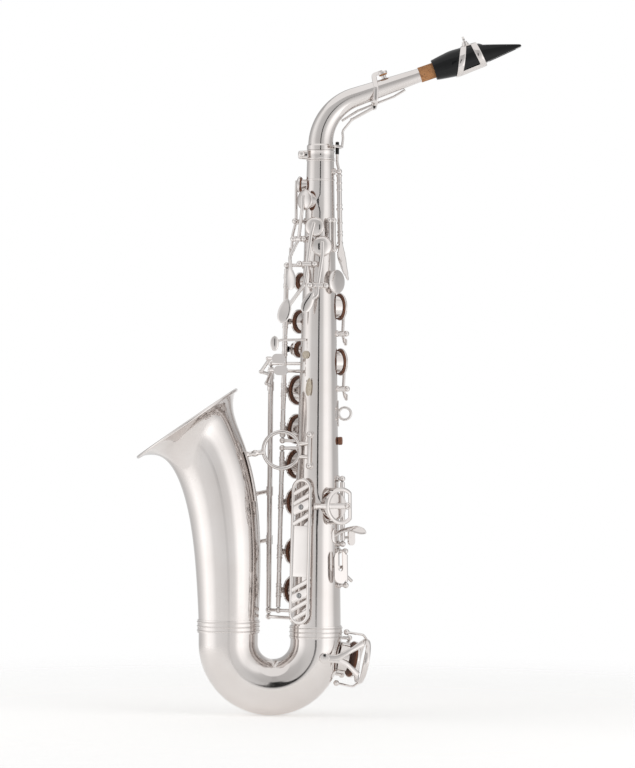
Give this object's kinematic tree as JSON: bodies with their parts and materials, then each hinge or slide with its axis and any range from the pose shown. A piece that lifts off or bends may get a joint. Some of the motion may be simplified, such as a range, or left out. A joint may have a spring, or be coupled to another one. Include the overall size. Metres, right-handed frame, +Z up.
{
  "type": "alto saxophone",
  "caption": "Silver-plated alto saxophone with flared bell, curved neck, black mouthpiece, padded keys on hinge rods, bell brace and strap ring.",
  "frame": {"origin": "centre of the strap ring's hole", "axes": "+Z up along the body tube, +X towards the mouthpiece, +Y away from the viewer, to the side of the bell keys"},
  "size_m": [0.3802, 0.1218, 0.6808],
  "materials": {
    "silver_plate": "bright silver plate over brass, polished",
    "steel": "turned hinge steel",
    "pad_leather": "smooth brown kid leather",
    "cork": "sanded cork with fine specks",
    "ebonite": "polished black hard rubber"
  },
  "bodies": {
    "horn": {"body_tube": "silver_plate", "bow": "silver_plate", "bell": "silver_plate", "bow_ferrules": "silver_plate", "bell_tone_holes": "silver_plate", "neck_receiver": "silver_plate", "bell_brace": "silver_plate", "strap_ring": "silver_plate", "thumb_hook": "silver_plate", "thumb_rest": "silver_plate", "guard_plate": "silver_plate", "guard_screws": "steel", "hinge_posts": "silver_plate", "hinge_rods": "steel", "key_guards": "silver_plate"},
    "neck": {"neck_tube": "silver_plate", "neck_tenon": "silver_plate", "neck_fittings": "silver_plate", "neck_cork": "cork"},
    "neck_clamp": {"neck_screw": "steel"},
    "mouthpiece_group": {"mouthpiece": "ebonite", "ligature": "silver_plate"},
    "ligature_knob": {"ligature_screw": "silver_plate"},
    "neck_octave": {"neck_octave_key": "silver_plate", "neck_octave_pad": "cork"},
    "octave": {"octave_lever": "silver_plate"},
    "front": {"front_key": "silver_plate"},
    "palm_1": {"palm_key_1": "silver_plate"},
    "palm_2": {"palm_key_2": "silver_plate"},
    "palm_3": {"palm_key_3": "silver_plate"},
    "side_1": {"side_key_1": "silver_plate", "side_pad_1": "pad_leather"},
    "side_2": {"side_key_2": "silver_plate", "side_pad_2": "pad_leather"},
    "stack_1": {"stack_key_1": "silver_plate", "stack_pad_1": "pad_leather"},
    "stack_2": {"stack_key_2": "silver_plate", "stack_pad_2": "pad_leather"},
    "stack_3": {"stack_key_3": "silver_plate", "stack_pad_3": "pad_leather"},
    "stack_4": {"stack_key_4": "silver_plate", "stack_pad_4": "pad_leather"},
    "stack_5": {"stack_key_5": "silver_plate", "stack_pad_5": "pad_leather"},
    "stack_6": {"stack_key_6": "silver_plate", "stack_pad_6": "pad_leather"},
    "stack_7": {"stack_key_7": "silver_plate", "stack_pad_7": "pad_leather"},
    "stack_8": {"stack_key_8": "silver_plate", "stack_pad_8": "pad_leather"},
    "stack_9": {"stack_key_9": "silver_plate", "stack_pad_9": "pad_leather"},
    "e_flat": {"e_flat_key": "silver_plate", "e_flat_pad": "pad_leather"},
    "low_c": {"low_c_key": "silver_plate", "low_c_pad": "pad_leather"},
    "low_c_lever": {"low_c_touch": "silver_plate"},
    "low_b": {"low_b_key": "silver_plate"},
    "low_b_flat": {"low_b_flat_key": "silver_plate"}
  },
  "joints": [
    {"name": "neck_swivel", "type": "hinge", "parent": "horn", "child": "neck", "pos_m": [-0.02673, 0, 0.25346], "axis": [0, 0, 1], "range_deg": [-20, 20]},
    {"name": "neck_clamp_screw_turn", "type": "hinge", "parent": "horn", "child": "neck_clamp", "pos_m": [-0.04545, 0, 0.25869], "axis": [0, 1, 0], "continuous": true},
    {"name": "mouthpiece_slide", "type": "slide", "parent": "neck", "child": "mouthpiece_group", "axis": [0.9426, 0, 0.3338], "range_m": [-0.006, 0.008]},
    {"name": "ligature_screw_turn", "type": "hinge", "parent": "mouthpiece_group", "child": "ligature_knob", "pos_m": [0.12158, 0, 0.35682], "axis": [-0.3338, 0, 0.9426], "continuous": true},
    {"name": "octave_lever_pivot", "type": "hinge", "parent": "horn", "child": "octave", "pos_m": [-0.00627, -0.00398, 0.16627], "axis": [0.0241, -0.0047, -0.9997], "range_deg": [0, 12], "stiffness_Nm_per_rad": 0.15, "springref_deg": -17.19},
    {"name": "neck_octave_pivot", "type": "hinge", "parent": "neck", "child": "neck_octave", "pos_m": [0.02641, 0, 0.30647], "axis": [0, -1, 0], "range_deg": [0, 4]},
    {"name": "front_key_pivot", "type": "hinge", "parent": "horn", "child": "front", "pos_m": [-0.05052, 0.00334, 0.19168], "axis": [-0.1392, -0.9903, 0], "range_deg": [0, 8], "stiffness_Nm_per_rad": 0.15, "springref_deg": -17.19},
    {"name": "palm_key_1_pivot", "type": "hinge", "parent": "horn", "child": "palm_1", "pos_m": [-0.0478, -0.0134, 0.17363], "axis": [0.6947, -0.7193, 0], "range_deg": [0, 8], "stiffness_Nm_per_rad": 0.15, "springref_deg": -17.19},
    {"name": "palm_key_2_pivot", "type": "hinge", "parent": "horn", "child": "palm_2", "pos_m": [-0.0391, -0.02276, 0.14873], "axis": [0.9703, -0.2419, 0], "range_deg": [0, 8], "stiffness_Nm_per_rad": 0.15, "springref_deg": -17.19},
    {"name": "palm_key_3_pivot", "type": "hinge", "parent": "horn", "child": "palm_3", "pos_m": [-0.02803, -0.02588, 0.12738], "axis": [0.9945, 0.1045, 0], "range_deg": [0, 8], "stiffness_Nm_per_rad": 0.15, "springref_deg": -17.19},
    {"name": "side_key_1_pivot", "type": "hinge", "parent": "horn", "child": "side_1", "pos_m": [-0.00288, 0.01215, 0.0799], "axis": [-0.454, 0.891, 0], "range_deg": [0, 8], "stiffness_Nm_per_rad": 0.15, "springref_deg": -17.19},
    {"name": "side_key_2_pivot", "type": "hinge", "parent": "horn", "child": "side_2", "pos_m": [-0.00167, 0.01277, 0.02468], "axis": [-0.454, 0.891, 0], "range_deg": [0, 8], "stiffness_Nm_per_rad": 0.15, "springref_deg": -17.19},
    {"name": "stack_key_1_pivot", "type": "hinge", "parent": "horn", "child": "stack_1", "pos_m": [-0.05972, 0.00737, 0.13193], "axis": [-0.0155, 0.0191, -0.9997], "range_deg": [0, 13], "stiffness_Nm_per_rad": 0.15, "springref_deg": -17.19},
    {"name": "stack_key_2_pivot", "type": "hinge", "parent": "horn", "child": "stack_2", "pos_m": [-0.06034, 0.00814, 0.09181], "axis": [-0.0155, 0.0191, -0.9997], "range_deg": [0, 13], "stiffness_Nm_per_rad": 0.15, "springref_deg": -17.19},
    {"name": "stack_key_3_pivot", "type": "hinge", "parent": "horn", "child": "stack_3", "pos_m": [-0.06077, 0.00867, 0.06397], "axis": [-0.0155, 0.0191, -0.9997], "range_deg": [0, 13], "stiffness_Nm_per_rad": 0.15, "springref_deg": -17.19},
    {"name": "stack_key_4_pivot", "type": "hinge", "parent": "horn", "child": "stack_4", "pos_m": [-0.06141, 0.00945, 0.0229], "axis": [-0.0155, 0.0191, -0.9997], "range_deg": [0, 13], "stiffness_Nm_per_rad": 0.15, "springref_deg": -17.19},
    {"name": "stack_key_5_pivot", "type": "hinge", "parent": "horn", "child": "stack_5", "pos_m": [-0.06201, 0.0102, -0.01627], "axis": [-0.0155, 0.0191, -0.9997], "range_deg": [0, 13], "stiffness_Nm_per_rad": 0.15, "springref_deg": -17.19},
    {"name": "stack_key_6_pivot", "type": "hinge", "parent": "horn", "child": "stack_6", "pos_m": [-0.06255, 0.01087, -0.0512], "axis": [-0.0155, 0.0191, -0.9997], "range_deg": [0, 13], "stiffness_Nm_per_rad": 0.15, "springref_deg": -17.19},
    {"name": "stack_key_7_pivot", "type": "hinge", "parent": "horn", "child": "stack_7", "pos_m": [-0.06314, 0.0116, -0.08943], "axis": [-0.0155, 0.0191, -0.9997], "range_deg": [0, 13], "stiffness_Nm_per_rad": 0.15, "springref_deg": -17.19},
    {"name": "stack_key_8_pivot", "type": "hinge", "parent": "horn", "child": "stack_8", "pos_m": [-0.06392, 0.01255, -0.13947], "axis": [-0.0155, 0.0191, -0.9997], "range_deg": [0, 13], "stiffness_Nm_per_rad": 0.15, "springref_deg": -17.19},
    {"name": "stack_key_9_pivot", "type": "hinge", "parent": "horn", "child": "stack_9", "pos_m": [-0.06452, 0.01329, -0.17817], "axis": [-0.0155, 0.0191, -0.9997], "range_deg": [0, 13], "stiffness_Nm_per_rad": 0.15, "springref_deg": -17.19},
    {"name": "e_flat_pivot", "type": "hinge", "parent": "horn", "child": "e_flat", "pos_m": [-0.00146, -0.0088, -0.09203], "axis": [-0.0151, 0.0194, 0.9997], "range_deg": [0, 9], "stiffness_Nm_per_rad": 0.15, "springref_deg": -17.19},
    {"name": "low_c_pivot", "type": "hinge", "parent": "horn", "child": "low_c", "pos_m": [0.00326, 0.02939, -0.24487], "axis": [-0.1908, 0, -0.9816], "range_deg": [0, 9], "stiffness_Nm_per_rad": 0.15, "springref_deg": -17.19},
    {"name": "low_c_touch_pivot", "type": "hinge", "parent": "horn", "child": "low_c_lever", "pos_m": [0.00252, -0.01007, -0.17116], "axis": [0.0232, -0.008, -0.9997], "range_deg": [0, 6]},
    {"name": "low_b_pivot", "type": "hinge", "parent": "horn", "child": "low_b", "pos_m": [-0.07473, 0.043, -0.20626], "axis": [0, 0, 1], "range_deg": [0, 9], "stiffness_Nm_per_rad": 0.15, "springref_deg": -17.19},
    {"name": "low_b_flat_pivot", "type": "hinge", "parent": "horn", "child": "low_b_flat", "pos_m": [-0.07473, 0.03, -0.19871], "axis": [0, 0, 1], "range_deg": [0, 9], "stiffness_Nm_per_rad": 0.15, "springref_deg": -17.19}
  ],
  "couplings": [
    {"joint": "neck_octave_pivot", "follows": "octave_lever_pivot", "ratio": 0.33332},
    {"joint": "low_c_touch_pivot", "follows": "low_c_pivot", "ratio": 0.66666}
  ]
}
